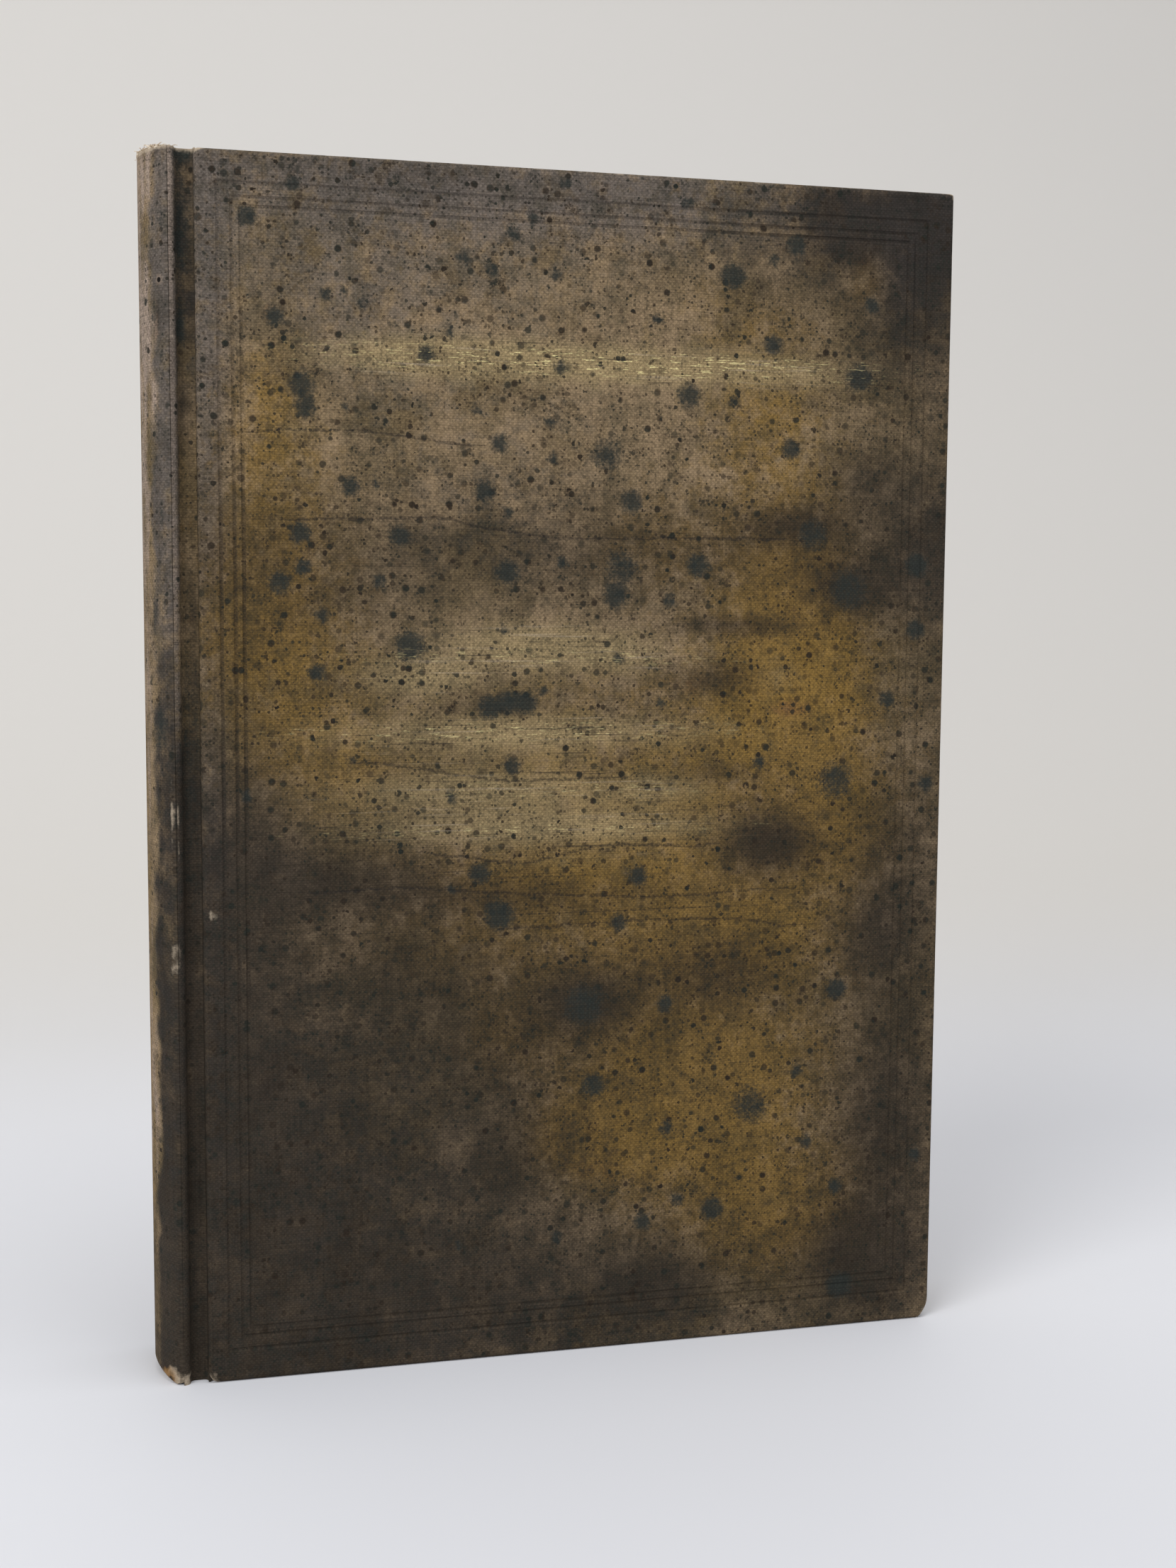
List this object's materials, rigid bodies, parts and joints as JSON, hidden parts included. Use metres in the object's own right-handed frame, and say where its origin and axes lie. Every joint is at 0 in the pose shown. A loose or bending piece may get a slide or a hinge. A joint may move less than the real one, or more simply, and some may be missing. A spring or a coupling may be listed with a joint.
{
  "type": "hardback book",
  "caption": "Worn cloth-bound hardback book with a rounded hollow spine, grooved joints, a blind-ruled border and covers that open.",
  "frame": {"origin": "centre of the closed book's footprint, on the surface that its tail stands on", "axes": "+Z from tail to head, +X from the spine to the fore edge, -Y out of the front cover"},
  "size_m": [0.1614, 0.023, 0.235],
  "materials": {
    "book_cloth": "matte",
    "board": "matte",
    "pages": "matte",
    "endpaper": "matte",
    "mull": "matte",
    "lining_paper": "matte",
    "inlay_card": "matte",
    "band": "matte"
  },
  "bodies": {
    "book_block": {"text_block": "pages", "front_free_endpaper": "endpaper", "back_free_endpaper": "endpaper", "spine_mull": "mull", "spine_lining": "lining_paper", "head_band": "band", "tail_band": "band", "spine_inlay": "inlay_card", "spine_cloth": "book_cloth"},
    "front_cover": {"front_board": "board", "front_cloth": "book_cloth", "front_mull_flange": "mull", "front_pastedown": "endpaper"},
    "back_cover": {"back_board": "board", "back_cloth": "book_cloth", "back_mull_flange": "mull", "back_pastedown": "endpaper"}
  },
  "joints": [
    {"name": "front_hinge", "type": "hinge", "parent": "book_block", "child": "front_cover", "pos_m": [-0.07555, -0.01, 0.1175], "axis": [0, 0, -1], "range_deg": [0, 180]},
    {"name": "back_hinge", "type": "hinge", "parent": "book_block", "child": "back_cover", "pos_m": [-0.07555, 0.01, 0.1175], "axis": [0, 0, 1], "range_deg": [0, 180]}
  ]
}
